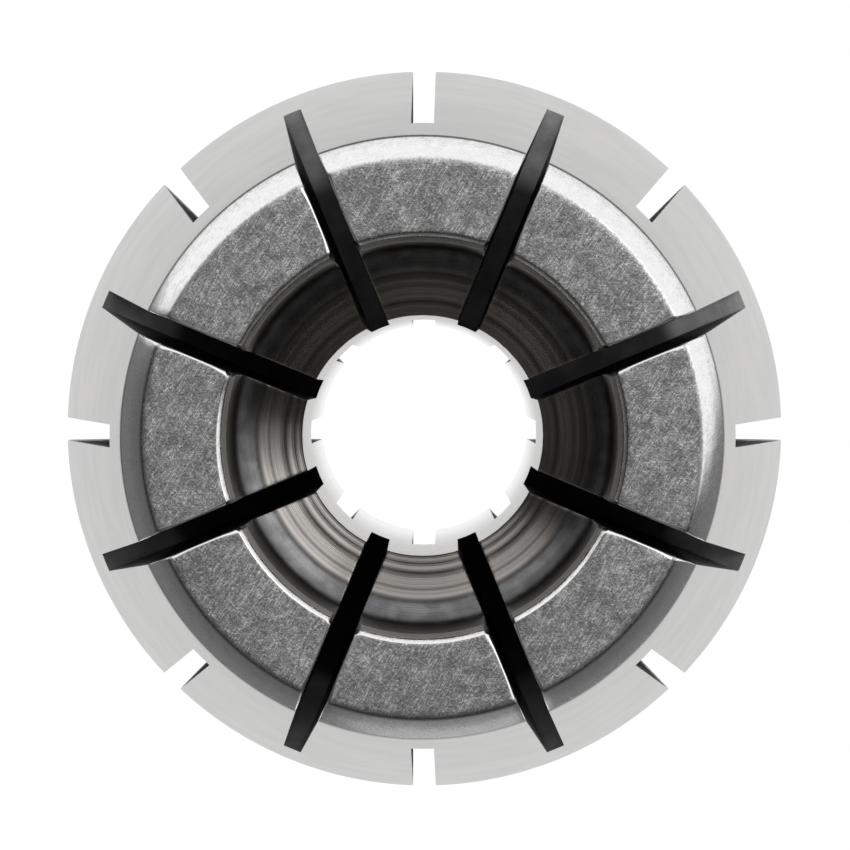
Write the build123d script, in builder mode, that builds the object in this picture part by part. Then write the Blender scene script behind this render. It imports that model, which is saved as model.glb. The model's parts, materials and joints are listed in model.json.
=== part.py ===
from build123d import *
import os
from math import sqrt, tan, radians

# Spring collet of the ER type, size 32, with a 3/8 inch bore: one turned and ground
# steel ring, sawn from both ends into a springy sleeve. Millimetres, +Z up.
# The collet stands on its large front face at Z = 0, centred on the Z axis, and its
# small rear end, the one that goes deepest into the holder, is up at overall_length.

# ---- overall form ----------------------------------------------------------------
overall_length = 40.0
gauge_diameter = 32.0  # where the holder's taper is measured
gauge_from_front = 7.16
taper_half_angle = 8.0

# ---- collar, between the nut's cone and the groove -----------------------------------
nut_cone_half_angle = 30.0
nut_cone_length = 2.8
collar_height = 0.3  # above the gauge diameter, on each side

# ---- groove in which the nut's ring pulls the collet out ---------------------------
groove_from_front = 3.8
groove_width = 2.4
groove_depth = 1.4  # below the gauge diameter, on each side
groove_corner_radius = 0.3

# ---- rear end -----------------------------------------------------------------------
rear_bevel_length = 1.1
rear_bevel_width = 0.95
rear_bevel_radius = 0.5  # rounding of the bevel's two edges
relief_diameter = 14.9
relief_depth = 6.5  # straight wall, up to the drilled cone
relief_cone_angle = 118.0
relief_mouth_chamfer = 0.2
relief_lip_width = 0.15  # a steeper ring below the mouth's chamfer
relief_lip_length = 0.6
relief_corner_radius = 0.35

# ---- grip bore ----------------------------------------------------------------------
grip_bore_diameter = 9.525
grip_mouth_chamfer = 0.5  # at the front face
grip_rear_chamfer = 0.1  # where the bore meets the relief

# ---- broken edges ---------------------------------------------------------------------
front_edge_chamfer = 0.25
collar_chamfer = 0.2
groove_edge_chamfer = 0.15

# ---- saw slots ------------------------------------------------------------------------
# Each end has slot_count slots, and the two sets interleave. A slot is a saw disc's
# cut, so it ends in an arc, and the jaws spring apart a little towards its open end.
slot_count = 8
saw_diameter = 80.0
front_slot_open_width = 1.06
front_slot_closed_width = 0.90
front_slot_from_rear_outside = 6.4
front_slot_from_rear_at_bore = 20.6
rear_slot_open_width = 0.95
rear_slot_closed_width = 0.80
rear_slot_from_rear_outside = 25.2
rear_slot_from_rear_at_bore = 20.6

# ---- worked out from the above ------------------------------------------------------------
taper_slope = tan(radians(taper_half_angle))
grip_radius = grip_bore_diameter / 2
relief_radius = relief_diameter / 2
relief_lip_radius = relief_radius + relief_lip_width
collar_radius = gauge_diameter / 2 + collar_height
front_face_radius = collar_radius - nut_cone_length * tan(radians(nut_cone_half_angle))
groove_radius = gauge_diameter / 2 - groove_depth
groove_end = groove_from_front + groove_width
bevel_start = overall_length - rear_bevel_length
saw_radius = saw_diameter / 2
slot_pitch_angle = 360 / slot_count


def taper_radius(height):
    """Radius of the 8 degree taper at a height above the front face."""
    return gauge_diameter / 2 - (height - gauge_from_front) * taper_slope


rear_face_radius = taper_radius(bevel_start) - rear_bevel_width
relief_floor_top = overall_length - relief_depth
relief_cone_drop = (relief_radius - grip_radius) / tan(radians(relief_cone_angle / 2))
grip_top = relief_floor_top - relief_cone_drop


def saw_centre(at_bore, at_outside, turn):
    """Centre of the saw disc whose rim passes through two points of the slot's end.

    Points are (radius, height). turn is +90 or -90 degrees, the side of the line
    between them on which the disc lies.
    """
    chord = Vector(*at_outside) - Vector(*at_bore)
    middle = Vector(*at_bore) + chord / 2
    reach = sqrt(saw_radius**2 - (chord.length / 2) ** 2)
    return middle + chord.rotate(Axis.Z, turn).normalized() * reach


def slot_end_points(from_rear_at_bore, from_rear_outside):
    """The ends of a slot's arc, on the grip bore and on the taper."""
    outside_height = overall_length - from_rear_outside
    at_bore = (grip_radius, overall_length - from_rear_at_bore)
    at_outside = (taper_radius(outside_height), outside_height)
    return at_bore, at_outside


# ---- one saw cut from the rear end ------------------------------------------------------------
rear_slot_ends = slot_end_points(rear_slot_from_rear_at_bore, rear_slot_from_rear_outside)
rear_saw = saw_centre(*rear_slot_ends, 90)

with BuildPart() as rear_slot:
    with BuildSketch(Plane.XZ):
        with Locations((rear_saw.X, rear_saw.Y)):
            Circle(saw_radius)
    extrude(amount=rear_slot_open_width, both=True)
    with BuildSketch(Plane.YZ):
        with BuildLine():
            Polyline(
                (rear_slot_closed_width / 2, overall_length - rear_slot_from_rear_outside),
                (rear_slot_open_width / 2, overall_length),
                (rear_slot_open_width / 2, overall_length + rear_bevel_length),
                (-rear_slot_open_width / 2, overall_length + rear_bevel_length),
                (-rear_slot_open_width / 2, overall_length),
                (-rear_slot_closed_width / 2, overall_length - rear_slot_from_rear_outside),
                close=True,
            )
        make_face()
    extrude(amount=2 * collar_radius, mode=Mode.INTERSECT)

# ---- one saw cut from the front end -------------------------------------------------------------
front_slot_ends = slot_end_points(front_slot_from_rear_at_bore, front_slot_from_rear_outside)
front_saw = saw_centre(*front_slot_ends, -90)

with BuildPart() as front_slot:
    with BuildSketch(Plane.XZ):
        with Locations((front_saw.X, front_saw.Y)):
            Circle(saw_radius)
    extrude(amount=front_slot_open_width, both=True)
    with BuildSketch(Plane.YZ):
        with BuildLine():
            Polyline(
                (front_slot_closed_width / 2, overall_length - front_slot_from_rear_outside),
                (front_slot_open_width / 2, 0),
                (front_slot_open_width / 2, -nut_cone_length),
                (-front_slot_open_width / 2, -nut_cone_length),
                (-front_slot_open_width / 2, 0),
                (-front_slot_closed_width / 2, overall_length - front_slot_from_rear_outside),
                close=True,
            )
        make_face()
    extrude(amount=2 * collar_radius, mode=Mode.INTERSECT)

# ---- the collet -------------------------------------------------------------------------------------
with BuildPart() as collet:
    with BuildSketch(Plane.XZ) as section:
        with BuildLine():
            Polyline(
                (grip_radius + grip_mouth_chamfer, 0),
                (front_face_radius, 0),
                (collar_radius, nut_cone_length),
                (collar_radius, groove_from_front),
                (groove_radius, groove_from_front),
                (groove_radius, groove_end),
                (taper_radius(groove_end), groove_end),
                (taper_radius(bevel_start), bevel_start),
                (rear_face_radius, overall_length),
                (relief_lip_radius + relief_mouth_chamfer, overall_length),
                (relief_lip_radius, overall_length - relief_mouth_chamfer),
                (relief_radius, overall_length - relief_mouth_chamfer - relief_lip_length),
                (relief_radius, relief_floor_top),
                (grip_radius, grip_top),
                (grip_radius, grip_mouth_chamfer),
                close=True,
            )
        make_face()
        rounded_corners = {
            (groove_radius, groove_from_front): groove_corner_radius,
            (groove_radius, groove_end): groove_corner_radius,
            (taper_radius(bevel_start), bevel_start): rear_bevel_radius,
            (rear_face_radius, overall_length): rear_bevel_radius,
            (relief_radius, relief_floor_top): relief_corner_radius,
        }
        for place, radius in rounded_corners.items():
            fillet(section.vertices().sort_by_distance(place)[0], radius)
        broken_edges = {
            (front_face_radius, 0): front_edge_chamfer,
            (collar_radius, nut_cone_length): collar_chamfer,
            (collar_radius, groove_from_front): groove_edge_chamfer,
            (taper_radius(groove_end), groove_end): groove_edge_chamfer,
            (grip_radius, grip_top): grip_rear_chamfer,
        }
        for place, length in broken_edges.items():
            chamfer(section.vertices().sort_by_distance(place)[0], length)
    revolve(axis=Axis.Z)
    with PolarLocations(0, slot_count):
        add(front_slot.part, mode=Mode.SUBTRACT)
    with PolarLocations(0, slot_count, start_angle=slot_pitch_angle / 2):
        add(rear_slot.part, mode=Mode.SUBTRACT)

collet.part.label = "collet"

os.makedirs("parts", exist_ok=True)
export_step(collet.part, "parts/collet.step")
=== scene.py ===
import json
from collections import namedtuple
from functools import partial
from math import asin, ceil, cos, exp, hypot, pi, radians, sin, sqrt, tan

import bmesh
import bpy
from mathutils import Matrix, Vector


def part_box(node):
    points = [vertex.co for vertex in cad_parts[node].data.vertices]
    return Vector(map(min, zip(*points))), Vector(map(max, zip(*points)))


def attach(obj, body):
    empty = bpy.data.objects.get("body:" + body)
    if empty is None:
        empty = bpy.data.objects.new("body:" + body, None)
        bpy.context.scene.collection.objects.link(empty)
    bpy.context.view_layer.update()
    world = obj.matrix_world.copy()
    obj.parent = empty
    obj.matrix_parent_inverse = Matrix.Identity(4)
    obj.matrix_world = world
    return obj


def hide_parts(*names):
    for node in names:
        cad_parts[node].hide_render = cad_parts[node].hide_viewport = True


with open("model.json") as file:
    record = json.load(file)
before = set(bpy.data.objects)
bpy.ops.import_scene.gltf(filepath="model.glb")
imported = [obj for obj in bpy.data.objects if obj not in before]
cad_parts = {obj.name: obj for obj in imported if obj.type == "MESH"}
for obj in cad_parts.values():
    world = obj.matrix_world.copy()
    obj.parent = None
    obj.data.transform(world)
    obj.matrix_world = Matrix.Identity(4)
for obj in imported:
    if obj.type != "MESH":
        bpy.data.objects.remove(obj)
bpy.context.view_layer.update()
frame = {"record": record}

bl_info = {
    "name": "Spring collet",
    "version": (1, 0, 0),
    "blender": (4, 5, 0),
    "location": "3D View > Sidebar > Collet",
    "description": "Builds a slotted spring collet, its steel finishes and a small studio",
    "category": "Add Mesh",
}

# Lengths are in metres, as everywhere in Blender. MM turns a drawing's number into one.
MM = 0.001

COLLET_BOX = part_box("collet")
GRIP_BORE = next(m for m in frame["record"]["mounts"] if m["name"] == "grip_bore")

# The surfaces of the collet and the finish of each. A face of the mesh keeps the number
# of its surface, its place in this list, in the "zone" attribute.
FINISH_OF_ZONE = {
    "end_face": "tumbled",
    "front_face": "tumbled",
    "nut_cone": "ground",
    "taper": "ground",
    "groove": "turned",
    "bevel": "polished",
    "mouth": "polished",
    "lip": "worn",
    "relief_wall": "bored",
    "relief_floor": "drilled",
    "grip_bore": "honed",
    "saw_wall": "sawn",
    "saw_end": "sawn",
}
ZONES = tuple(FINISH_OF_ZONE)


# ---- settings

def length(name, description, millimetres):
    """A length that a user may set."""
    return bpy.props.FloatProperty(name=name, description=description, unit="LENGTH",
                                   default=millimetres * MM, min=0.0, precision=5)


def angle(name, description, degrees):
    """An angle that a user may set."""
    return bpy.props.FloatProperty(name=name, description=description, subtype="ANGLE",
                                   default=radians(degrees))


def colour(name, description, *shade):
    """A colour that a user may set."""
    return bpy.props.FloatVectorProperty(name=name, description=description, size=4,
                                         subtype="COLOR", min=0.0, max=1.0,
                                         default=(*shade, 1.0))


class ColletSizes(bpy.types.PropertyGroup):
    """Sizes of the turned, ground and sawn sleeve."""

    overall_length: length("Length", "From the front face to the rear face",
                           (COLLET_BOX[1][2] - COLLET_BOX[0][2]) / MM)
    gauge_diameter: length("Gauge diameter", "Diameter of the taper at the gauge line", 32.0)
    gauge_height: length("Gauge height", "Height of the gauge line over the front face", 7.16)
    taper_half_angle: angle("Taper half angle", "Slope of the long taper", 8.0)
    nut_cone_half_angle: angle("Nut cone half angle", "Slope of the short cone under the nut",
                               30.0)
    nut_cone_length: length("Nut cone length", "From the front face to the collar", 2.8)
    collar_height: length("Collar height", "Above the gauge diameter, on each side", 0.3)
    groove_height: length("Groove height", "Height of the groove's lower side", 3.8)
    groove_width: length("Groove width", "Width of the groove", 2.4)
    groove_depth: length("Groove depth", "Depth below the gauge diameter", 1.4)
    bevel_length: length("Bevel length", "Rear bevel, measured along the axis", 1.1)
    bevel_width: length("Bevel width", "Rear bevel, measured across the axis", 0.95)
    bevel_rounding: length("Bevel rounding", "Radius of the bevel's edge at the rear face", 0.5)
    shoulder_rounding: length("Shoulder rounding", "Radius of the bevel's edge at the taper",
                              0.55)
    bevel_crown: length("Bevel crown", "Height of the bevel's worn, rounded middle", 0.05)
    grip_diameter: length("Grip bore", "Diameter of the bore that holds the shank",
                          2 * GRIP_BORE["dims"]["r_mm"])
    grip_mouth: length("Grip mouth", "Chamfer of the bore at the front face", 0.5)
    relief_diameter: length("Relief diameter", "Diameter of the wide bore at the rear", 14.9)
    relief_depth: length("Relief depth", "Depth of the relief's straight wall", 6.5)
    relief_cone: angle("Relief cone", "Full angle of the drilled floor", 118.0)
    relief_mouth: length("Relief mouth", "Chamfer of the relief at the rear face", 0.2)
    lip_width: length("Relief lip width", "Steeper ring below the mouth's chamfer", 0.16)
    lip_length: length("Relief lip length", "Height of the steeper ring", 0.4)
    slot_pairs: bpy.props.IntProperty(
        name="Slot pairs", description="Slots at each end", default=8, min=3, max=16)
    saw_diameter: length("Saw diameter", "Disc whose arc ends each slot", 80.0)
    front_slot_open: length("Front slot, open", "Width at the front face", 1.06)
    front_slot_closed: length("Front slot, closed", "Width at the slot's end", 0.90)
    front_slot_outside: length("Front slot end outside", "Depth below the rear face", 6.4)
    front_slot_at_bore: length("Front slot end at bore", "Depth below the rear face", 20.6)
    rear_slot_open: length("Rear slot, open", "Width at the rear face", 0.95)
    rear_slot_closed: length("Rear slot, closed", "Width at the slot's end", 0.80)
    rear_slot_outside: length("Rear slot end outside", "Depth below the rear face", 25.2)
    rear_slot_at_bore: length("Rear slot end at bore", "Depth below the rear face", 20.6)


class ColletColours(bpy.types.PropertyGroup):
    """Colours of the bare steel in its finishes; the bored wall's colour also holds painted shade.
    """

    tumbled_steel: colour("Tumbled steel", "End faces out of the tumbling barrel",
                          0.525, 0.52, 0.52)
    polished_steel: colour("Polished steel", "Bevel and the bore's mouths", 0.92, 0.92, 0.92)
    ground_steel: colour("Ground steel", "Taper and nut cone", 0.46, 0.455, 0.45)
    turned_steel: colour("Turned steel", "Groove and floor of the relief", 0.33, 0.315, 0.30)
    # Painted shade: the bored wall's steel is much darker than the turned floor's, for the shade
    # deep in the relief, which the floor's reflection of it carries too.
    bored_steel: colour("Bored steel", "Wall of the relief", 0.17, 0.163, 0.152)
    worn_steel: colour("Worn steel", "Lip below the relief's mouth", 0.78, 0.75, 0.71)
    honed_steel: colour("Honed steel", "Wall of the grip bore", 0.44, 0.43, 0.415)
    sawn_steel: colour("Sawn steel", "Walls of the slots", 0.27, 0.27, 0.275)


# ---- section

# A corner's zone is that of the side after it. The first share of its rounding still
# belongs to the zone of the side before it.
Corner = namedtuple("Corner", "r z rounding zone share_before", defaults=(0.5,))
Row = namedtuple("Row", "r z zone inward edge_break")
Slot = namedtuple("Slot", "centre radius half_width")

# Roundings of the corners that have no setting of their own.
FINE_EDGE = 0.08 * MM
COLLAR_EDGE = 0.25 * MM
GROOVE_EDGE = 0.12 * MM
GROOVE_CORNER = 0.3 * MM
CROWN_ROUNDING = 4 * MM
MOUTH_ROUNDING = 0.2 * MM
LIP_TOP = 0.4 * MM
LIP_FOOT = 0.3 * MM
FLOOR_CORNER = 0.45 * MM

# Turned grooves in the relief's drilled floor: radius, half width and depth, in millimetres.
FLOOR_RINGS = ((6.45, 0.13, 0.014), (6.01, 0.07, 0.004), (5.37, 0.12, 0.014),
               (5.02, 0.08, 0.006))

# How finely the section is divided: arcs by angle, and sides by millimetres.
ARC_STEP = radians(9)
LEAST_ARC_STEPS = 4
LONGEST_STEP = {"relief_floor": 0.045, "grip_bore": 2.5, "taper": 2.5, "end_face": 0.3,
                "bevel": 0.2, "relief_wall": 0.8}
USUAL_STEP = 1.2
HALVINGS = 50

# How much a slot's edges are broken where they meet each surface, in millimetres. Near a
# rim of the end face they are broken by RIM_BREAK more, which rounds the corner.
EDGE_BREAK = {
    "end_face": 0.11, "bevel": 0.07, "mouth": 0.13, "lip": 0.10, "relief_wall": 0.06,
    "relief_floor": 0.055, "front_face": 0.10, "nut_cone": 0.05, "taper": 0.03,
    "groove": 0.05, "grip_bore": 0.02,
}
RIM_BREAK = {"mouth": 0.11, "bevel": 0.10}
RIM_REACH = 0.45 * MM
BREAK_FADE = 0.8 * MM  # the broken edge grows to its full size over this depth of the slot
SHARPEST_MITRE = 0.5
# Vectors are single precision, so a point on a saw's rim may lie this far outside it.
CROSSING_TOLERANCE = 0.001 * MM


def taper_radius(sizes, height):
    """Radius of the long taper at a height."""
    slope = tan(sizes.taper_half_angle)
    return sizes.gauge_diameter / 2 - (height - sizes.gauge_height) * slope


def section_corners(sizes):
    """Corners of the turned section, counter-clockwise in (radius, height)."""
    top = sizes.overall_length
    grip = sizes.grip_diameter / 2
    relief = sizes.relief_diameter / 2
    lip = relief + sizes.lip_width
    lip_top = top - sizes.relief_mouth
    collar = sizes.gauge_diameter / 2 + sizes.collar_height
    front = collar - sizes.nut_cone_length * tan(sizes.nut_cone_half_angle)
    groove_floor = sizes.gauge_diameter / 2 - sizes.groove_depth
    groove_top = sizes.groove_height + sizes.groove_width
    bevel_start = top - sizes.bevel_length
    shoulder = taper_radius(sizes, bevel_start)
    face = shoulder - sizes.bevel_width
    crown = Vector((sizes.bevel_length, sizes.bevel_width)).normalized() * sizes.bevel_crown
    crown_r = (shoulder + face) / 2 + crown.x
    crown_z = (bevel_start + top) / 2 + crown.y
    floor_top = top - sizes.relief_depth
    cone_drop = (relief - grip) / tan(sizes.relief_cone / 2)
    return [
        Corner(grip + sizes.grip_mouth, 0.0, FINE_EDGE, "front_face"),
        Corner(front, 0.0, COLLAR_EDGE, "nut_cone"),
        Corner(collar, sizes.nut_cone_length, COLLAR_EDGE, "taper"),
        Corner(collar, sizes.groove_height, GROOVE_EDGE, "groove"),
        Corner(groove_floor, sizes.groove_height, GROOVE_CORNER, "groove"),
        Corner(groove_floor, groove_top, GROOVE_CORNER, "groove"),
        Corner(taper_radius(sizes, groove_top), groove_top, GROOVE_EDGE, "taper"),
        Corner(shoulder, bevel_start, sizes.shoulder_rounding, "bevel", 1.0),
        Corner(crown_r, crown_z, CROWN_ROUNDING, "bevel"),
        Corner(face, top, sizes.bevel_rounding, "end_face", 0.58),
        Corner(lip + sizes.relief_mouth, top, MOUTH_ROUNDING, "mouth"),
        Corner(lip, lip_top, LIP_TOP, "lip"),
        Corner(relief, lip_top - sizes.lip_length, LIP_FOOT, "relief_wall"),
        Corner(relief, floor_top, FLOOR_CORNER, "relief_floor", 0.1),
        Corner(grip, floor_top - cone_drop, FINE_EDGE, "grip_bore"),
        Corner(grip, sizes.grip_mouth, FINE_EDGE, "mouth"),
    ]


def swung(centre, spoke, swing):
    """Where the tip of a spoke comes when it swings clockwise about its centre."""
    return centre + Vector((spoke.x * cos(swing) + spoke.y * sin(swing),
                            -spoke.x * sin(swing) + spoke.y * cos(swing)))


def rounded_corner(before, corner, after):
    """The arc that rounds a corner of the section, as points from side to side."""
    here = Vector((corner.r, corner.z))
    come = (here - Vector((before.r, before.z))).normalized()
    go = (Vector((after.r, after.z)) - here).normalized()
    turn = come.angle_signed(go)
    setback = corner.rounding * tan(abs(turn) / 2)
    start = here - come * setback
    side = Vector((-come.y, come.x)) * (-1 if turn > 0 else 1)
    centre = start + side * corner.rounding
    steps = max(LEAST_ARC_STEPS, ceil(abs(turn) / ARC_STEP))
    return [swung(centre, start - centre, turn * step / steps) for step in range(steps + 1)]


def rounded_section(corners):
    """The section as points with zones: each corner becomes an arc, each side is divided."""
    count = len(corners)
    arcs = [rounded_corner(corners[index - 1], corner, corners[(index + 1) % count])
            for index, corner in enumerate(corners)]
    points = []
    for index, (arc, corner) in enumerate(zip(arcs, corners)):
        change = corner.share_before * (len(arc) - 1)
        for step, point in enumerate(arc[:-1]):
            points.append((point, corners[index - 1].zone if step < change else corner.zone))
        run = arcs[(index + 1) % count][0] - arc[-1]
        longest = LONGEST_STEP.get(corner.zone, USUAL_STEP) * MM
        pieces = max(1, ceil(run.length / longest))
        for piece in range(pieces):
            points.append((arc[-1] + run * piece / pieces, corner.zone))
    return points


def cut_floor_rings(points):
    """Sink the turned grooves into the relief's floor."""
    cut = []
    for point, zone in points:
        depth = 0.0
        if zone == "relief_floor":
            for ring_r, half_width, ring_depth in FLOOR_RINGS:
                reach = (point.x / MM - ring_r) / half_width
                depth += ring_depth * MM * exp(-reach * reach)
        cut.append((Vector((point.x, point.y - depth)), zone))
    return cut


def make_slot(sizes, end):
    """A saw cut from the "front" or the "rear" end: its disc, and its width by height."""
    open_width, closed_width, from_rear_outside, from_rear_at_bore = (
        getattr(sizes, f"{end}_slot_{size}") for size in ("open", "closed", "outside", "at_bore"))
    top = sizes.overall_length
    open_height, turn = (top, 1) if end == "rear" else (0.0, -1)
    outside_height = top - from_rear_outside
    at_bore = Vector((sizes.grip_diameter / 2, top - from_rear_at_bore))
    at_outside = Vector((taper_radius(sizes, outside_height), outside_height))
    chord = at_outside - at_bore
    radius = sizes.saw_diameter / 2
    reach = sqrt(radius ** 2 - (chord.length / 2) ** 2)
    across = Vector((-chord.y, chord.x)).normalized() * turn

    def half_width(height):
        share = (height - open_height) / (outside_height - open_height)
        return (open_width + (closed_width - open_width) * share) / 2

    return Slot((at_bore + at_outside) / 2 + across * reach, radius, half_width)


def inside_disc(slot, r, z):
    """How far inside the saw's disc a point of the section lies; negative outside."""
    return slot.radius - hypot(r - slot.centre.x, z - slot.centre.y)


def add_slot_crossings(points, slots):
    """Put a point of the section exactly where each saw's rim crosses it."""
    result = []
    for index, (point, zone) in enumerate(points):
        after = points[(index + 1) % len(points)][0]
        result.append((point, zone))
        for slot in slots:
            here = inside_disc(slot, *point)
            if here * inside_disc(slot, *after) < 0:
                low, high = 0.0, 1.0
                for _ in range(HALVINGS):
                    middle = (low + high) / 2
                    if inside_disc(slot, *point.lerp(after, middle)) * here > 0:
                        low = middle
                    else:
                        high = middle
                result.append((point.lerp(after, low), zone))
    return result


def end_face_rims(points):
    """Where the end face meets the bevel and the mouth, and how far each corner is broken."""
    rims = []
    for index, (point, zone) in enumerate(points):
        zones = (zone, points[index - 1][1])
        if "end_face" in zones and zones[0] != zones[1]:
            other = zones[1] if zone == "end_face" else zone
            rims.append((point, RIM_BREAK[other]))
    return rims


def section_rows(sizes, slots):
    """The finished section: points with zone, inward direction and edge break."""
    points = cut_floor_rings(rounded_section(section_corners(sizes)))
    points = add_slot_crossings(points, slots)
    rims = end_face_rims(points)
    rows = []
    for index, (point, zone) in enumerate(points):
        before, zone_before = points[index - 1]
        after = points[(index + 1) % len(points)][0]
        come = (point - before).normalized()
        go = (after - point).normalized()
        along = (come + go).normalized()
        mitre = 1 / max(SHARPEST_MITRE, sqrt((1 + come.dot(go)) / 2))
        inward = Vector((-along.y, along.x)) * mitre
        edge = (EDGE_BREAK[zone] + EDGE_BREAK[zone_before]) / 2
        for rim, more in rims:
            away = (point - rim).length / RIM_REACH
            edge += more * exp(-away * away)
        rows.append(Row(point.x, point.y, zone, inward, edge * MM))
    return rows


# ---- mesh

FACE_COLUMNS = 14
EDGE_COLUMNS = 5
END_ARC_STEPS = 26
SHARP_ANGLE = radians(35)
DOUBLES = 0.0005 * MM
SEAM = 0.002 * MM


class SectorMesh:
    """Half a pitch of the collet, from the middle of a front slot to that of a rear slot."""

    def __init__(self, sizes):
        self.half_pitch = pi / sizes.slot_pairs
        self.front = make_slot(sizes, "front")
        self.rear = make_slot(sizes, "rear")
        self.rows = section_rows(sizes, (self.front, self.rear))
        self.mesh = bmesh.new()
        self.zone_layer = self.mesh.faces.layers.int.new("zone")
        self.wear_layer = self.mesh.verts.layers.float.new("edge_wear")

    def point(self, r, z, y, slot):
        """A place at radius r and at distance y from a slot's middle plane."""
        around = asin(y / r)
        if slot is self.rear:
            around = self.half_pitch - around
        return Vector((r * cos(around), r * sin(around), z))

    def add_vertex(self, place, wear=0.0):
        """A vertex that keeps how worn it is."""
        vertex = self.mesh.verts.new(place)
        vertex[self.wear_layer] = wear
        return vertex

    def add_face(self, corners, zone, smooth=True):
        """A face that keeps its zone."""
        face = self.mesh.faces.new(corners)
        face[self.zone_layer] = ZONES.index(zone)
        face.smooth = smooth

    def faces_of(self, zone):
        """The faces of a zone."""
        return [face for face in self.mesh.faces if face[self.zone_layer] == ZONES.index(zone)]

    def edge_break(self, row, slot):
        """Size of the slot's broken edge at a row: none at the slot's closed end."""
        share = inside_disc(slot, row.r, row.z) / BREAK_FADE
        return row.edge_break * min(1.0, max(0.0, share))

    def broken_edge(self, row, slot):
        """Vertices over a slot's rounded edge, from the slot's wall to the surface."""
        size = self.edge_break(row, slot)
        column = []
        for step in range(EDGE_COLUMNS + 1):
            turn = pi / 2 * step / EDGE_COLUMNS
            depth = size * (1 - sin(turn))
            r = row.r + row.inward.x * depth
            z = row.z + row.inward.y * depth
            y = slot.half_width(z) + size * (1 - cos(turn))
            worn = size > 0 and step < EDGE_COLUMNS
            column.append(self.add_vertex(self.point(r, z, y, slot), 1.0 if worn else 0.0))
        return column

    def between_slots(self, row):
        """Vertices on the surface between the two slots' broken edges."""
        ends = []
        for slot in (self.front, self.rear):
            y = slot.half_width(row.z) + self.edge_break(row, slot)
            around = asin(y / row.r)
            ends.append(around if slot is self.front else self.half_pitch - around)
        column = []
        for step in range(1, FACE_COLUMNS):
            around = ends[0] + (ends[1] - ends[0]) * step / FACE_COLUMNS
            column.append(self.add_vertex((row.r * cos(around), row.r * sin(around), row.z)))
        return column

    def middle_vertex(self, row, slot):
        """The vertex in a slot's middle plane, on the surface."""
        return self.add_vertex(self.point(row.r, row.z, 0.0, slot))

    def turned_surface(self):
        """All turned surfaces, open where the slots are."""
        grid = []
        for row in self.rows:
            front_edge = self.broken_edge(row, self.front)
            rear_edge = self.broken_edge(row, self.rear)
            grid.append([self.middle_vertex(row, self.front), *front_edge,
                         *self.between_slots(row), *rear_edge[::-1],
                         self.middle_vertex(row, self.rear)])
        width = len(grid[0])
        for index, column in enumerate(grid):
            following = (index + 1) % len(grid)
            row, after = self.rows[index], self.rows[following]
            middle = ((row.r + after.r) / 2, (row.z + after.z) / 2)
            first = 1 if inside_disc(self.front, *middle) > 0 else 0
            last = width - (2 if inside_disc(self.rear, *middle) > 0 else 1)
            for step in range(first, last):
                self.add_face((column[step], column[step + 1],
                               grid[following][step + 1], grid[following][step]), row.zone)
        return grid

    def slot_faces(self, grid, slot):
        """The wall of half a slot and the arc that the saw's rim leaves at its end."""
        middle_column, wall_column = (0, 1) if slot is self.front else (-1, -2)
        open_rows = [index for index, row in enumerate(self.rows)
                     if inside_disc(slot, row.r, row.z) > -CROSSING_TOLERANCE]
        starts = [index for index in open_rows if (index - 1) % len(grid) not in open_rows]
        ordered = [(starts[0] + step) % len(grid) for step in range(len(open_rows))]
        first, last = self.rows[ordered[0]], self.rows[ordered[-1]]
        spoke_from = Vector((last.r, last.z)) - slot.centre
        spoke_to = Vector((first.r, first.z)) - slot.centre
        sweep = spoke_from.angle_signed(spoke_to)
        wall_side = [grid[ordered[-1]][wall_column]]
        middle_side = [grid[ordered[-1]][middle_column]]
        for step in range(1, END_ARC_STEPS):
            x, z = swung(slot.centre, spoke_from, sweep * step / END_ARC_STEPS)
            y = slot.half_width(z)
            wall_side.append(self.add_vertex(self.point(hypot(x, y), z, y, slot)))
            middle_side.append(self.add_vertex(self.point(x, z, 0.0, slot)))
        wall_side.append(grid[ordered[0]][wall_column])
        middle_side.append(grid[ordered[0]][middle_column])
        for step in range(END_ARC_STEPS):
            self.add_face((wall_side[step], wall_side[step + 1],
                           middle_side[step + 1], middle_side[step]), "saw_end")
        wall = [grid[index][wall_column] for index in ordered] + wall_side[1:-1]
        self.add_face(wall, "saw_wall", smooth=False)

    def build(self, name):
        """The finished mesh of half a pitch."""
        grid = self.turned_surface()
        self.slot_faces(grid, self.front)
        self.slot_faces(grid, self.rear)
        bmesh.ops.remove_doubles(self.mesh, verts=self.mesh.verts, dist=DOUBLES)
        bmesh.ops.triangulate(self.mesh, faces=self.faces_of("saw_wall"))
        bmesh.ops.recalc_face_normals(self.mesh, faces=self.mesh.faces)
        if sum(face.normal.z * face.calc_area() for face in self.faces_of("front_face")) > 0:
            bmesh.ops.reverse_faces(self.mesh, faces=self.mesh.faces)
        for edge in self.mesh.edges:
            if len(edge.link_faces) == 2 and edge.calc_face_angle() > SHARP_ANGLE:
                edge.smooth = False
        loose = [vertex for vertex in self.mesh.verts if not vertex.link_faces]
        bmesh.ops.delete(self.mesh, geom=loose, context="VERTS")
        mesh = bpy.data.meshes.new(name)
        self.mesh.to_mesh(mesh)
        self.mesh.free()
        return mesh


# ---- nodes

def add_socket(tree, name, in_out, kind, default=None):
    """A named input or output of a node tree."""
    socket = tree.interface.new_socket(name=name, in_out=in_out, socket_type=kind)
    if default is not None:
        socket.default_value = default


def feed(tree, socket, value):
    """Link an input to an output, or give it a plain value."""
    if isinstance(value, bpy.types.NodeSocket):
        tree.links.new(value, socket)
    else:
        socket.default_value = value


def add_node(tree, kind, inputs=None, **values):
    """A new node with some of its own values set, and inputs fed by name or number."""
    made = tree.nodes.new(kind)
    for key, value in values.items():
        setattr(made, key, value)
    for key, value in (inputs or {}).items():
        feed(tree, made.inputs[key], value)
    return made


def calculate(operation, tree, *values):
    """A Math node's output; each value is a socket or a number."""
    made = add_node(tree, "ShaderNodeMath", dict(enumerate(values)), operation=operation)
    return made.outputs[0]


times, plus, minus, larger = (partial(calculate, operation) for operation in
                              ("MULTIPLY", "ADD", "SUBTRACT", "MAXIMUM"))


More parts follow.
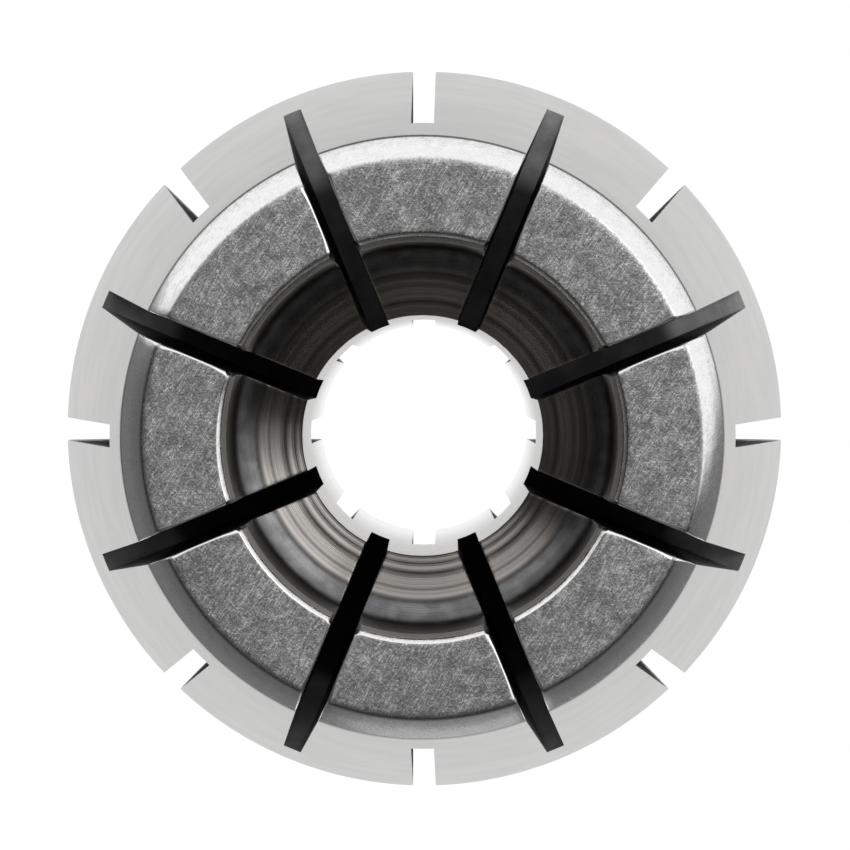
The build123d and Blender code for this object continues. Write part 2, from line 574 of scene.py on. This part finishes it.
def remap(tree, value, low, high, to_low=0.0, to_high=1.0):
    """A value's smooth step from one range to another."""
    ranges = {"From Min": low, "From Max": high, "To Min": to_low, "To Max": to_high}
    made = add_node(tree, "ShaderNodeMapRange", {"Value": value, **ranges},
                    interpolation_type="SMOOTHSTEP")
    return made.outputs["Result"]


def noise(tree, vector, scale, detail=2.0, roughness=0.5):
    """A noise texture's value; the scale is in features per metre."""
    made = add_node(tree, "ShaderNodeTexNoise", {"Vector": vector, "Scale": scale,
                                                 "Detail": detail, "Roughness": roughness})
    return made.outputs["Fac"]


def mixed(tree, factor, first, second):
    """Two colours mixed by a factor."""
    made = add_node(tree, "ShaderNodeMix", {0: factor, 6: first, 7: second}, data_type="RGBA")
    return made.outputs[2]


def multiplied(tree, base, factor):
    """A colour socket times a value socket."""
    made = add_node(tree, "ShaderNodeVectorMath", {0: base, "Scale": factor}, operation="SCALE")
    return made.outputs[0]


def split(tree, vector):
    """The outputs X, Y and Z of a vector."""
    return add_node(tree, "ShaderNodeSeparateXYZ", {0: vector}).outputs


def axis_distance(tree, vector):
    """Distance from the collet's axis."""
    x, y, _ = split(tree, vector)
    squares = plus(tree, times(tree, x, x), times(tree, y, y))
    return calculate("SQRT", tree, squares)


# ---- pattern

def sleeve_pattern(finishes):
    """Geometry nodes that mirror half a pitch, repeat it round the axis and finish it."""
    tree = bpy.data.node_groups.new("Collet sleeve pattern", "GeometryNodeTree")
    add_socket(tree, "Half pitch", "INPUT", "NodeSocketGeometry")
    add_socket(tree, "Slot pairs", "INPUT", "NodeSocketInt", 8)
    add_socket(tree, "Seam", "INPUT", "NodeSocketFloat", SEAM)
    add_socket(tree, "Sleeve", "OUTPUT", "NodeSocketGeometry")
    half_pitch, slot_pairs, seam = add_node(tree, "NodeGroupInput").outputs[:3]

    mirror = add_node(tree, "GeometryNodeTransform",
                      {"Geometry": half_pitch, "Scale": (1, -1, 1)})
    flip = add_node(tree, "GeometryNodeFlipFaces", {"Mesh": mirror.outputs[0]})
    pitch = add_node(tree, "GeometryNodeJoinGeometry", {0: flip.outputs[0]})
    tree.links.new(half_pitch, pitch.inputs[0])

    points = add_node(tree, "GeometryNodePoints", {"Count": slot_pairs})
    index = add_node(tree, "GeometryNodeInputIndex")
    turn = times(tree, calculate("DIVIDE", tree, 2 * pi, slot_pairs), index.outputs[0])
    spin = add_node(tree, "ShaderNodeCombineXYZ", {"Z": turn})
    place = add_node(tree, "GeometryNodeInstanceOnPoints",
                     {"Points": points.outputs[0], "Instance": pitch.outputs[0],
                      "Rotation": spin.outputs[0]})
    realize = add_node(tree, "GeometryNodeRealizeInstances", {0: place.outputs[0]})
    weld = add_node(tree, "GeometryNodeMergeByDistance",
                    {"Geometry": realize.outputs[0], "Distance": seam})

    zone = add_node(tree, "GeometryNodeInputNamedAttribute", {"Name": "zone"}, data_type="INT")
    sleeve = weld.outputs[0]
    for number, name in enumerate(ZONES):
        same = add_node(tree, "FunctionNodeCompare", {2: zone.outputs["Attribute"], 3: number},
                        data_type="INT", operation="EQUAL")
        dress = add_node(tree, "GeometryNodeSetMaterial",
                         {"Geometry": sleeve, "Selection": same.outputs["Result"],
                          "Material": finishes[FINISH_OF_ZONE[name]]})
        sleeve = dress.outputs[0]
    add_node(tree, "NodeGroupOutput", {"Sleeve": sleeve})
    return tree


def set_input(modifier, name, value):
    """Set a geometry nodes input by the identifier of the socket with this name."""
    for item in modifier.node_group.interface.items_tree:
        if item.item_type == "SOCKET" and item.in_out == "INPUT" and item.name == name:
            modifier[item.identifier] = value
            return
    raise KeyError(name)


def add_object(name, data):
    """A new object in the scene."""
    made = bpy.data.objects.new(name, data)
    bpy.context.scene.collection.objects.link(made)
    return made


def applied(source, name):
    """A plain mesh object with the source's modifiers applied; the source is removed."""
    graph = bpy.context.evaluated_depsgraph_get()
    mesh = bpy.data.meshes.new_from_object(source.evaluated_get(graph),
                                           preserve_all_data_layers=True, depsgraph=graph)
    bpy.data.objects.remove(source)
    mesh.name = name
    return add_object(name, mesh)


# ---- marks

# Scratches on the tumbled faces: the direction from the X axis, the level of noise above
# which a scratch shows, and its strength. The first are what is left of a lapped hatch.
SCRATCHES = ((59, 0.47, 1.0), (64, 0.51, 0.9), (48, 0.54, 0.8), (24, 0.57, 0.6),
             (124, 0.57, 0.5), (150, 0.58, 0.4), (92, 0.58, 0.5), (0, 0.58, 0.5))
SCRATCH_EDGE = 0.13
SCRATCH_SHIFT = (0.013, 0.007)
PATCH_LEVELS = (0.42, 0.6)
PATCH_SHIFT = 0.02
GRAIN_WEIGHT = 1.6
# Turning lines: how the rings drift from true, and how broad their bands are.
DRIFT_SCALE = 180.0
BAND_SCALE = 0.16


def shader_group(name, inputs, outputs):
    """An empty shader node group with named sockets; its inputs and its output node."""
    tree = bpy.data.node_groups.new(name, "ShaderNodeTree")
    add_socket(tree, "Vector", "INPUT", "NodeSocketVector")
    for label, value in inputs.items():
        add_socket(tree, label, "INPUT", "NodeSocketFloat", value)
    for label in outputs:
        add_socket(tree, label, "OUTPUT", "NodeSocketFloat")
    return tree, add_node(tree, "NodeGroupInput").outputs, add_node(tree, "NodeGroupOutput")


def stretched_noise(tree, vector, degrees, lengthwise, crosswise, offset):
    """Noise in long straight streaks that run at an angle to the X axis."""
    shift = (SCRATCH_SHIFT[0] * offset, SCRATCH_SHIFT[1] * offset, 0.0)
    turned = add_node(tree, "ShaderNodeMapping", {"Vector": vector, "Location": shift,
                                                  "Rotation": (0, 0, radians(-degrees))})
    axes = zip(split(tree, turned.outputs[0]), (lengthwise, crosswise, crosswise))
    stretched = [times(tree, axis, scale) for axis, scale in axes]
    joined = add_node(tree, "ShaderNodeCombineXYZ", dict(enumerate(stretched)))
    return noise(tree, joined.outputs[0], 1.0, detail=1.0)


def tumbling_marks_group():
    """Straight, broken scratches in all directions over a fine grain and cloudy patches."""
    tree, enter, leave = shader_group(
        "Tumbling marks",
        {"Mark length": 0.6 * MM, "Mark width": 0.052 * MM, "Patch": 0.35 * MM,
         "Grain": 0.11 * MM, "Cloud": 0.9 * MM},
        ("Marks", "Height", "Grain", "Cloud"))
    vector = enter["Vector"]
    lengthwise, crosswise, patches, grain_scale, cloud_scale = (
        calculate("DIVIDE", tree, 1.0, size) for size in enter[1:6])
    grain = noise(tree, vector, grain_scale, detail=2.5)
    strongest = None
    total = times(tree, grain, GRAIN_WEIGHT)
    for number, (degrees, level, strength) in enumerate(SCRATCHES):
        value = stretched_noise(tree, vector, degrees, lengthwise, crosswise, number)
        shift = add_node(tree, "ShaderNodeVectorMath",
                         {0: vector, 1: (0.0, 0.0, PATCH_SHIFT * (number + 1))}, operation="ADD")
        patch = remap(tree, noise(tree, shift.outputs[0], patches, detail=1.0), *PATCH_LEVELS)
        scratch = remap(tree, value, level, level + SCRATCH_EDGE, 0.0, strength)
        mark = times(tree, patch, scratch)
        strongest = larger(tree, strongest, mark) if number else mark
        total = calculate("MULTIPLY_ADD", tree, value, strength, total)
    share = 1 / (GRAIN_WEIGHT + sum(strength for _, _, strength in SCRATCHES))
    feed(tree, leave.inputs["Marks"], strongest)
    feed(tree, leave.inputs["Height"], times(tree, total, share))
    feed(tree, leave.inputs["Grain"], grain)
    feed(tree, leave.inputs["Cloud"], noise(tree, vector, cloud_scale, detail=3.0))
    return tree


def turning_lines_group():
    """Fine rings round the Z axis, as a turning tool leaves on a face or in a bore."""
    tree, enter, leave = shader_group(
        "Turning lines", {"Pitch": 0.08 * MM, "Waver": 0.15}, ("Lines", "Bands"))
    vector = enter["Vector"]
    travel = plus(tree, axis_distance(tree, vector), split(tree, vector)["Z"])
    turns = calculate("DIVIDE", tree, travel, enter["Pitch"])
    drift = noise(tree, vector, DRIFT_SCALE, detail=1.0)
    path = plus(tree, turns, times(tree, drift, enter["Waver"]))
    along = add_node(tree, "ShaderNodeCombineXYZ", {"X": path}).outputs[0]
    feed(tree, leave.inputs["Lines"], noise(tree, along, 1.0, roughness=0.6))
    feed(tree, leave.inputs["Bands"], noise(tree, along, BAND_SCALE, detail=1.0))
    return tree


# ---- finishes

# Levels between which noise shows: the middle of it, most of it, and nearly all of it.
NARROW = (0.35, 0.65)
MIDDLE = (0.3, 0.7)
WIDE = (0.2, 0.8)

# Broken edges of the slots: how polished they are, and how unevenly.
EDGE_ROUGHNESS = 0.28
EDGE_NOISE = 2500.0
EDGE_UNEVENNESS = 0.6
EDGE_LEVELS = (0.35, 0.8)

# Tumbled faces: shades of the steel, each as a factor of its colour.
SPECKLE_NOISE = 7000.0
DULL_SHADES = ((0.73, 0.74, 0.765), (0.765, 0.74, 0.72))
SCRATCH_SHADE = 1.58
GRAIN_SHADES = (0.81, 1.19)
CLOUD_SHADES = (0.86, 1.14)
FACE_INSIDE = (7.82 * MM, 8.02 * MM)  # where the darker band at each rim ends
FACE_OUTSIDE = (10.4 * MM, 10.6 * MM)
FACE_BAND = 0.85

# Stains on the ground cones.
STAIN_NOISE = 350.0
STAIN_SHADES = ((0.94, 0.94, 0.94), (1.06, 1.05, 1.04))

# The bevel's polish begins, frayed, at this radius; the mouths of the bores, far inside
# it, are polished all over.
POLISH_EDGE = (10.54 * MM, 10.70 * MM)
POLISH_FRAYING = 0.2 * MM
MOUTH_EDGE = (9.0 * MM, 8.5 * MM)
POLISH_ROUGHNESS = (0.16, 0.28)
UNPOLISHED_ROUGHNESS = 0.45

# Surfaces with plain tool marks: pitch of the lines, how far they waver, whether the
# colour follows the lines or their bands, its darkest and lightest shade, roughness,
# and height of the lines.
ToolMarks = namedtuple("ToolMarks", "pitch waver follows shades roughness height")
TURNED = ToolMarks(0.06 * MM, 0.4, "Bands", (0.6, 1.0), (0.42, 0.5), 0.005 * MM)
BORED = ToolMarks(0.09 * MM, 0.8, "Lines", (0.7, 1.3), (0.5, 0.6), 0.006 * MM)
WORN = ToolMarks(0.09 * MM, 0.8, "Lines", (0.75, 1.1), (0.46, 0.54), 0.004 * MM)

# The drill left the relief's floor warm and bright inside this radius, and grey outside
# it. The floor grows rough towards the corner with the wall.
DRILLED_ZONE = (6.38 * MM, 6.62 * MM)
INNER_SHADES = ((0.86, 0.86, 0.88), (1.42, 1.38, 1.32))
PATCH_NOISE = 1500.0
OUTER_SHADES = ((0.52, 0.54, 0.57), (0.76, 0.80, 0.85))
STREAK_SHADES = (0.66, 1.2)
RING_SHADE = 30.0  # how much darker the floor is for each millimetre of a groove's depth
DARKEST_RING = 0.3
CORNER_ZONE = (6.8 * MM, 7.3 * MM)
CORNER_ROUGHNESS = 0.25

# Painted light: the bore's wall turns to the polished colour towards the front face, fully below
# the first of these heights and less and less up to the second.
BORE_PAINTED_LIGHT = (2 * MM, 26 * MM)

SAWN_NOISE = 6000.0
MOTTLE_NOISE = 700.0
# Painted shade: the slots' walls are darkened inside the rear end's own radius, where little light
# gets in, but not near the front, where light comes in from below.
SLOT_PAINTED_SHADE = (11.0 * MM, 11.9 * MM)
SLOT_PAINTED_SHADE_SHARE = 0.2
SLOT_UNSHADED_HEIGHTS = (4 * MM, 12 * MM)


def tinted(steel, red, green, blue):
    """A colour with each channel made lighter or darker by its own factor."""
    factors = (red, green, blue)
    return (*(min(1.0, channel * factor) for channel, factor in zip(steel, factors)), 1.0)


def shaded(steel, factor):
    """A colour made lighter or darker."""
    return tinted(steel, factor, factor, factor)


def between_shades(tree, steel, value, low, high, first, second):
    """The steel from one shade to another, as a value goes from low to high."""
    return mixed(tree, remap(tree, value, low, high), tinted(steel, *first),
                 tinted(steel, *second))


def use_group(tree, group, vector, **values):
    """The outputs of a node group, placed in a material with its own values."""
    inputs = {label.capitalize(): value for label, value in values.items()}
    return add_node(tree, "ShaderNodeGroup", {"Vector": vector, **inputs},
                    node_tree=group).outputs


# Each look below gives a surface's colour, its roughness, its relief and how high that is.

def tumbled_look(tree, vector, steel, colours, groups):
    """A lapped face, scratched and dulled in the tumbling barrel."""
    marks = use_group(tree, groups["marks"], vector)
    speckle = noise(tree, vector, SPECKLE_NOISE, detail=1.0)
    dull = between_shades(tree, steel, speckle, *NARROW, *DULL_SHADES)
    base = mixed(tree, marks["Marks"], dull, shaded(steel, SCRATCH_SHADE))
    base = multiplied(tree, base, remap(tree, marks["Grain"], *MIDDLE, *GRAIN_SHADES))
    base = multiplied(tree, base, remap(tree, marks["Cloud"], *NARROW, *CLOUD_SHADES))
    radius = axis_distance(tree, vector)
    rims = times(tree, remap(tree, radius, *FACE_INSIDE, FACE_BAND, 1.0),
                 remap(tree, radius, *FACE_OUTSIDE, 1.0, FACE_BAND))
    roughness = remap(tree, marks["Marks"], 0.0, 1.0, 0.48, 0.36)
    return multiplied(tree, base, rims), roughness, marks["Height"], 0.10 * MM


def polished_look(tree, vector, steel, colours, groups):
    """A bevel worn bright by use, and scratched like the face beside it where it begins."""
    marks = use_group(tree, groups["marks"], vector)
    faint = times(tree, marks["Marks"], 0.35)
    bright = mixed(tree, faint, steel, shaded(steel, 0.7))
    dull = mixed(tree, marks["Marks"], shaded(colours.tumbled_steel, 0.75),
                 shaded(colours.tumbled_steel, 1.4))
    uneven = minus(tree, marks["Grain"], 0.5)
    radius = calculate("MULTIPLY_ADD", tree, uneven, POLISH_FRAYING, axis_distance(tree, vector))
    brightened = larger(tree, remap(tree, radius, *POLISH_EDGE), remap(tree, radius, *MOUTH_EDGE))
    polish = remap(tree, marks["Marks"], 0.0, 1.0, *POLISH_ROUGHNESS)
    limit = remap(tree, brightened, 0.0, 1.0, UNPOLISHED_ROUGHNESS, POLISH_ROUGHNESS[0])
    height = calculate("MULTIPLY_ADD", tree, marks["Cloud"], 1.5, marks["Height"])
    return (mixed(tree, brightened, dull, bright), larger(tree, polish, limit), height, 0.006 * MM)


def ground_look(tree, vector, steel, colours, groups):
    """A cone ground fine all round, with faint stains."""
    lines = use_group(tree, groups["lines"], vector, pitch=0.03 * MM, waver=0.5)["Lines"]
    stains = noise(tree, vector, STAIN_NOISE, detail=3.0)
    base = between_shades(tree, steel, stains, *NARROW, *STAIN_SHADES)
    return base, remap(tree, lines, *WIDE, 0.26, 0.36), lines, 0.0006 * MM


def tool_marked_look(tool, tree, vector, steel, colours, groups):
    """A surface as the turning tool or the boring bar left it."""
    lines = use_group(tree, groups["lines"], vector, pitch=tool.pitch, waver=tool.waver)
    base = mixed(tree, remap(tree, lines[tool.follows], *MIDDLE),
                 *(shaded(steel, shade) for shade in tool.shades))
    return base, remap(tree, lines["Lines"], *WIDE, *tool.roughness), lines["Lines"], tool.height


def drilled_look(tree, vector, steel, colours, groups):
    """A floor left by a drill: bright rings inside, grey outside, dark in its grooves."""
    lines = use_group(tree, groups["lines"], vector, pitch=0.07 * MM, waver=0.5)
    streaks = use_group(tree, groups["lines"], vector, pitch=0.055 * MM, waver=1.0)["Lines"]
    patches = noise(tree, vector, PATCH_NOISE, detail=3.0)
    inner = between_shades(tree, steel, lines["Bands"], *NARROW, *INNER_SHADES)
    outer = between_shades(tree, steel, patches, *NARROW, *OUTER_SHADES)
    radius = axis_distance(tree, vector)
    base = mixed(tree, remap(tree, radius, *DRILLED_ZONE), inner, outer)
    for ring_r, half_width, ring_depth in FLOOR_RINGS:
        reach = calculate("ABSOLUTE", tree, minus(tree, radius, ring_r * MM))
        shade = max(DARKEST_RING, 1 - RING_SHADE * ring_depth)
        base = multiplied(tree, base, remap(tree, reach, 0.0, half_width * MM, shade, 1.0))
    base = multiplied(tree, base, remap(tree, streaks, *MIDDLE, *STREAK_SHADES))
    roughness = plus(tree, remap(tree, radius, *CORNER_ZONE, 0.0, CORNER_ROUGHNESS),
                     remap(tree, streaks, *WIDE, 0.17, 0.25))
    return base, roughness, lines["Lines"], 0.004 * MM


def honed_look(tree, vector, steel, colours, groups):
    """A honed bore, brightened with painted light towards the front face."""
    lines = use_group(tree, groups["lines"], vector, pitch=0.05 * MM, waver=0.4)
    # Painted light: brighter towards the front face, where the bore opens onto the floor.
    brightened = remap(tree, split(tree, vector)["Z"], *BORE_PAINTED_LIGHT, 1.0, 0.0)
    return (mixed(tree, brightened, steel, colours.polished_steel),
            remap(tree, lines["Bands"], *MIDDLE, 0.2, 0.32), lines["Lines"], 0.001 * MM)


def sawn_look(tree, vector, steel, colours, groups):
    """A sawn wall, mottled, with painted shade darkening it deep inside but not near the front."""
    mottle = remap(tree, noise(tree, vector, MOTTLE_NOISE, detail=3.0), *MIDDLE, 0.75, 1.25)
    # Painted shade: darker inside the rear end's radius, except near the front face.
    unshaded_near_front = remap(tree, split(tree, vector)["Z"], *SLOT_UNSHADED_HEIGHTS, 1.0, 0.0)
    dark = remap(tree, axis_distance(tree, vector), *SLOT_PAINTED_SHADE, SLOT_PAINTED_SHADE_SHARE, 1.0)
    plain = add_node(tree, "ShaderNodeRGB").outputs[0]
    plain.default_value = steel
    base = multiplied(tree, multiplied(tree, plain, mottle), larger(tree, unshaded_near_front, dark))
    return base, 0.5, noise(tree, vector, SAWN_NOISE), 0.01 * MM


# Every finish: its material, its colour among the settings, its roughness before any
# marks, its look, and whether the slots' broken edges are polished in it.
Finish = namedtuple("Finish", "title colour roughness look polished_edges")
FINISHES = {
    "tumbled": Finish("Tumbled steel", "tumbled_steel", 0.42, tumbled_look, True),
    "polished": Finish("Polished edge", "polished_steel", 0.18, polished_look, False),
    "ground": Finish("Ground steel", "ground_steel", 0.3, ground_look, False),
    "turned": Finish("Turned steel", "turned_steel", 0.45, partial(tool_marked_look, TURNED), True),
    # The bored wall's colour holds painted shade.
    "bored": Finish("Bored steel", "bored_steel", 0.4, partial(tool_marked_look, BORED), True),
    "worn": Finish("Worn steel", "worn_steel", 0.5, partial(tool_marked_look, WORN), True),
    "drilled": Finish("Drilled steel", "turned_steel", 0.2, drilled_look, True),
    "honed": Finish("Honed steel", "honed_steel", 0.25, honed_look, False),
    "sawn": Finish("Sawn steel", "sawn_steel", 0.5, sawn_look, False),
}


def polish_edges(tree, vector, base, roughness, colours):
    """Colour, roughness and what is left of the relief where broken edges are polished."""
    wear = add_node(tree, "ShaderNodeAttribute", attribute_name="edge_wear").outputs["Fac"]
    uneven = minus(tree, noise(tree, vector, EDGE_NOISE), 0.5)
    frayed = plus(tree, wear, times(tree, uneven, EDGE_UNEVENNESS))
    worn = remap(tree, frayed, *EDGE_LEVELS)
    kept = minus(tree, 1.0, worn)
    roughness = calculate("MULTIPLY_ADD", tree, worn, EDGE_ROUGHNESS,
                          times(tree, kept, roughness))
    return mixed(tree, worn, base, colours.polished_steel), roughness, kept


def steel_material(finish, colours, groups):
    """The bare steel material of a finish."""
    material = bpy.data.materials.new(finish.title)
    material.use_nodes = True
    tree = material.node_tree
    shader = tree.nodes["Principled BSDF"].inputs
    steel = getattr(colours, finish.colour)
    shader["Base Color"].default_value = steel
    shader["Metallic"].default_value = 1.0
    shader["Roughness"].default_value = finish.roughness
    vector = add_node(tree, "ShaderNodeTexCoord").outputs["Object"]
    base, roughness, height, distance = finish.look(tree, vector, steel, colours, groups)
    strength = 1.0
    if finish.polished_edges:
        base, roughness, strength = polish_edges(tree, vector, base, roughness, colours)
    bump = add_node(tree, "ShaderNodeBump",
                    {"Strength": strength, "Distance": distance, "Height": height})
    feed(tree, shader["Base Color"], base)
    feed(tree, shader["Roughness"], roughness)
    feed(tree, shader["Normal"], bump.outputs[0])
    return material


def steel_finishes(colours):
    """All finishes of the collet, by name."""
    groups = {"marks": tumbling_marks_group(), "lines": turning_lines_group()}
    return {name: steel_material(finish, colours, groups) for name, finish in FINISHES.items()}


# ---- stage

FLOOR_RADIUS = 60 * MM
FLOOR_OFFSET = (4 * MM, -20 * MM, 0)
FLOOR_SEGMENTS = 96
PAPER = (0.9, 0.9, 0.9, 1.0)
PAPER_ROUGHNESS = 0.9
SHADOW_SHARE = 0.05
FLOOR_GLOW = 1.05

# The backdrop's two ends: azimuth that each faces, its lean from upright, and the cosines
# between which it fades in. Its foot fades in between two heights.
BACKDROP_RIGHT = (80, 0.8, -0.1, 0.13)
BACKDROP_LEFT = (70, -0.35, -0.05, 0.2)
BACKDROP_FOOT = (-0.45, -0.38)
# A dim card, lit from above: azimuth, lean, cosines and brightness, and its heights.
CARD = (274, -0.2, 0.94, 0.99, 0.3)
CARD_HEIGHTS = (0.1, -0.35)
# The room's brightness falls with height, and less of it is seen behind the backdrop.
ROOM_HEIGHTS = (-0.4, 0.5)
ROOM_SHADES = (0.17, 0.02)
BEHIND_BACKDROP = 0.1
CEILING_HEIGHTS = (0.6, 0.97)
CEILING_SHADE = 0.34

SOFTBOX_PLACE = (0.30, 0.20, 0.30)
SOFTBOX_SIZE = (0.30, 0.22)
SOFTBOX_RADIANCE = 0.8

FOCAL_PIXELS = 4600.0
PICTURE_PIXELS = 850.0
SENSOR = 36.0
CAMERA_OFFSET = (0.542 * MM, 2.137 * MM)
CAMERA_ABOVE_REAR_FACE = 174.1 * MM
CLIP_START = 0.01
AXIS_PIXEL = (436.35, 381.6)


def ray_kinds(tree):
    """Whether a ray comes from the camera, and whether from a mirror or through glass."""
    path = add_node(tree, "ShaderNodeLightPath").outputs
    mirrored = larger(tree, path["Is Glossy Ray"], path["Is Transmission Ray"])
    return path["Is Camera Ray"], mirrored


def floor_material():
    """White paper to the camera, mirrors and glass, but for a share that keeps the shadow."""
    material = bpy.data.materials.new("Pale floor")
    material.use_nodes = True
    tree = material.node_tree
    shader = tree.nodes["Principled BSDF"]
    shader.inputs["Base Color"].default_value = PAPER
    shader.inputs["Roughness"].default_value = PAPER_ROUGHNESS
    shader.inputs["Specular IOR Level"].default_value = 0.0
    glow = add_node(tree, "ShaderNodeEmission", {"Strength": FLOOR_GLOW})
    seen = larger(tree, *ray_kinds(tree))
    mix = add_node(tree, "ShaderNodeMixShader",
                   {0: times(tree, seen, 1 - SHADOW_SHARE),
                    1: shader.outputs[0], 2: glow.outputs[0]})
    feed(tree, tree.nodes["Material Output"].inputs[0], mix.outputs[0])
    return material


def facing(tree, direction, azimuth, lean, low, high, to_high=1.0):
    """How far a direction turns to an azimuth, as a smooth step of the cosine."""
    towards = (cos(radians(azimuth)), sin(radians(azimuth)), lean)
    compass = add_node(tree, "ShaderNodeVectorMath", {0: direction, 1: towards},
                       operation="DOT_PRODUCT")
    return remap(tree, compass.outputs["Value"], low, high, 0.0, to_high)


def studio_world():
    """A white backdrop round the lit side of a dim room; all white to the camera."""
    world = bpy.data.worlds.new("Studio")
    world.use_nodes = True
    tree = world.node_tree
    direction = add_node(tree, "ShaderNodeTexCoord").outputs["Generated"]
    height = split(tree, direction)["Z"]
    screen = times(tree, facing(tree, direction, *BACKDROP_RIGHT),
                   facing(tree, direction, *BACKDROP_LEFT))
    backdrop = times(tree, screen, remap(tree, height, *BACKDROP_FOOT))
    room = times(tree, remap(tree, screen, 0.0, 1.0, 1.0, BEHIND_BACKDROP),
                 remap(tree, height, *ROOM_HEIGHTS, *ROOM_SHADES))
    ceiling = remap(tree, height, *CEILING_HEIGHTS, 0.0, CEILING_SHADE)
    card = times(tree, facing(tree, direction, *CARD), remap(tree, height, *CARD_HEIGHTS))
    room = plus(tree, plus(tree, room, ceiling), card)
    camera_ray, mirrored_ray = ray_kinds(tree)
    white = larger(tree, camera_ray, times(tree, mirrored_ray, backdrop))
    feed(tree, tree.nodes["Background"].inputs["Color"],
         mixed(tree, white, room, (1.0, 1.0, 1.0, 1.0)))
    return world


def add_floor():
    """The round floor that the collet stands on."""
    disc = bmesh.new()
    bmesh.ops.create_circle(disc, cap_ends=True, segments=FLOOR_SEGMENTS, radius=FLOOR_RADIUS)
    bmesh.ops.translate(disc, verts=disc.verts, vec=FLOOR_OFFSET)
    mesh = bpy.data.meshes.new("floor")
    disc.to_mesh(mesh)
    disc.free()
    mesh.materials.append(floor_material())
    floor = add_object("floor", mesh)


def add_softbox(aim):
    """A rectangular soft lamp that faces a point and shines evenly."""
    lamp = bpy.data.lights.new("softbox", "AREA")
    lamp.shape = "RECTANGLE"
    lamp.size, lamp.size_y = SOFTBOX_SIZE
    lamp.energy = SOFTBOX_RADIANCE * pi * lamp.size * lamp.size_y
    box = add_object("softbox", lamp)
    box.location = SOFTBOX_PLACE
    box.rotation_euler = (Vector(aim) - Vector(SOFTBOX_PLACE)).to_track_quat("-Z", "Y").to_euler()


def add_camera():
    """The camera over the rear face, turned slightly towards the collet's axis."""
    camera = bpy.data.cameras.new("camera")
    camera.sensor_width = SENSOR
    camera.lens = FOCAL_PIXELS / PICTURE_PIXELS * SENSOR
    camera.clip_start = CLIP_START
    eye = add_object("camera", camera)
    eye.location = (*CAMERA_OFFSET, COLLET_BOX[1][2] + CAMERA_ABOVE_REAR_FACE)
    tilt_x = (AXIS_PIXEL[1] - PICTURE_PIXELS / 2) / FOCAL_PIXELS
    tilt_y = (AXIS_PIXEL[0] - PICTURE_PIXELS / 2) / FOCAL_PIXELS
    eye.rotation_euler = (tilt_x, tilt_y, 0.0)
    return eye


# ---- operators

class COLLET_OT_add_sleeve(bpy.types.Operator):
    """Build the slotted sleeve and give each surface its steel finish"""

    bl_idname = "collet.add_sleeve"
    bl_label = "Add collet sleeve"

    def execute(self, context):
        sizes = context.scene.collet_sizes
        finishes = steel_finishes(context.scene.collet_colours)
        sector = add_object("half_pitch", SectorMesh(sizes).build("half_pitch"))
        pattern = sector.modifiers.new("Pattern", "NODES")
        pattern.node_group = sleeve_pattern(finishes)
        set_input(pattern, "Slot pairs", sizes.slot_pairs)
        set_input(pattern, "Seam", SEAM)
        sleeve = applied(sector, "collet_sleeve")
        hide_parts("collet")
        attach(sleeve, "root")
        return {"FINISHED"}


class COLLET_OT_add_stage(bpy.types.Operator):
    """Build the floor, the soft lamp, the world and the camera"""

    bl_idname = "collet.add_stage"
    bl_label = "Add stage"

    def execute(self, context):
        scene = context.scene
        add_floor()
        scene.world = studio_world()
        add_softbox((0, 0, COLLET_BOX[1][2]))
        scene.camera = add_camera()
        scene.view_settings.view_transform = "Standard"
        return {"FINISHED"}


class COLLET_PT_panel(bpy.types.Panel):
    """Buttons that add the collet's sleeve and its stage"""

    bl_label = "Collet"
    bl_idname = "COLLET_PT_panel"
    bl_space_type = "VIEW_3D"
    bl_region_type = "UI"
    bl_category = "Collet"

    def draw(self, context):
        column = self.layout.column()
        column.operator(COLLET_OT_add_sleeve.bl_idname)
        column.operator(COLLET_OT_add_stage.bl_idname)


CLASSES = (ColletSizes, ColletColours, COLLET_OT_add_sleeve, COLLET_OT_add_stage, COLLET_PT_panel)


def register():
    for cls in CLASSES:
        bpy.utils.register_class(cls)
    bpy.types.Scene.collet_sizes = bpy.props.PointerProperty(type=ColletSizes)
    bpy.types.Scene.collet_colours = bpy.props.PointerProperty(type=ColletColours)


def unregister():
    del bpy.types.Scene.collet_colours
    del bpy.types.Scene.collet_sizes
    for cls in reversed(CLASSES):
        bpy.utils.unregister_class(cls)


def main():
    register()
    bpy.ops.collet.add_sleeve()
    bpy.ops.collet.add_stage()


if __name__ == "__main__":
    main()
